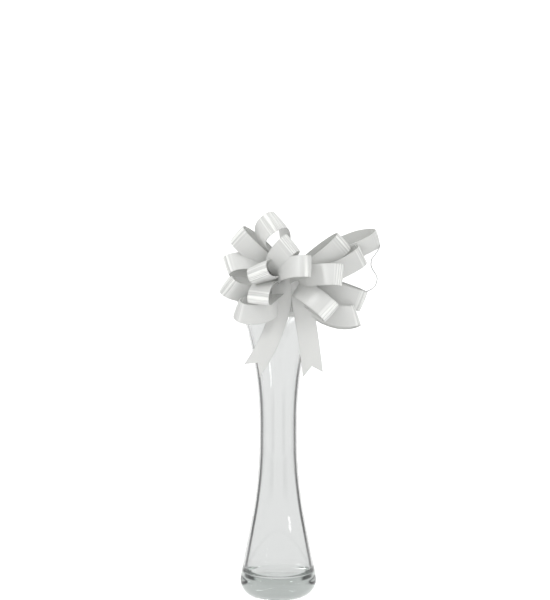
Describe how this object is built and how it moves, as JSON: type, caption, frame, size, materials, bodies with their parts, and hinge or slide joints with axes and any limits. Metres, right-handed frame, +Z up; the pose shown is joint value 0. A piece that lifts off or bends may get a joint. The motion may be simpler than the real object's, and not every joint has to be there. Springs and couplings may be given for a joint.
{
  "type": "flared glass bud vase with ribbon bow",
  "caption": "Tall waisted bud vase of clear glass with a heavy foot and a flared mouth, with a white satin pull bow tied round its neck.",
  "frame": {"origin": "centre of the foot's flat underside", "axes": "+Z up along the vase's axis, -Y towards the bow's front, +X to the right seen from the front"},
  "size_m": [0.122, 0.1256, 0.3033],
  "materials": {
    "clear_glass": "clear, colourless, fire-polished",
    "white_satin": "white polyester satin ribbon with crisp highlights across its folds",
    "gathered_satin": "the same ribbon gathered and bound tight",
    "white_cord": "thin white twisted cord"
  },
  "bodies": {
    "vase": {"glass_vase": "clear_glass"},
    "bow": {"neck_band": "white_satin", "bow_knot": "gathered_satin", "loop_top": "white_satin", "loop_upper_left": "white_satin", "loop_left": "white_satin", "loop_lower_left": "white_satin", "loop_bottom_left": "white_satin", "loop_front_low": "white_satin", "loop_front_left": "white_satin", "loop_front_top": "white_satin", "loop_front_centre": "white_satin", "loop_upper_right": "white_satin", "loop_right": "white_satin", "loop_front_right": "white_satin", "loop_lower_right": "white_satin", "loop_bottom_right": "white_satin", "loop_front_bottom": "white_satin", "loop_far_right": "white_satin", "tail_left": "white_satin", "tail_right": "white_satin", "pull_string": "white_cord"}
  },
  "joints": [
    {"name": "bow_turn", "type": "hinge", "parent": "vase", "child": "bow", "pos_m": [0, 0, 0.228], "axis": [0, 0, 1], "continuous": true}
  ]
}
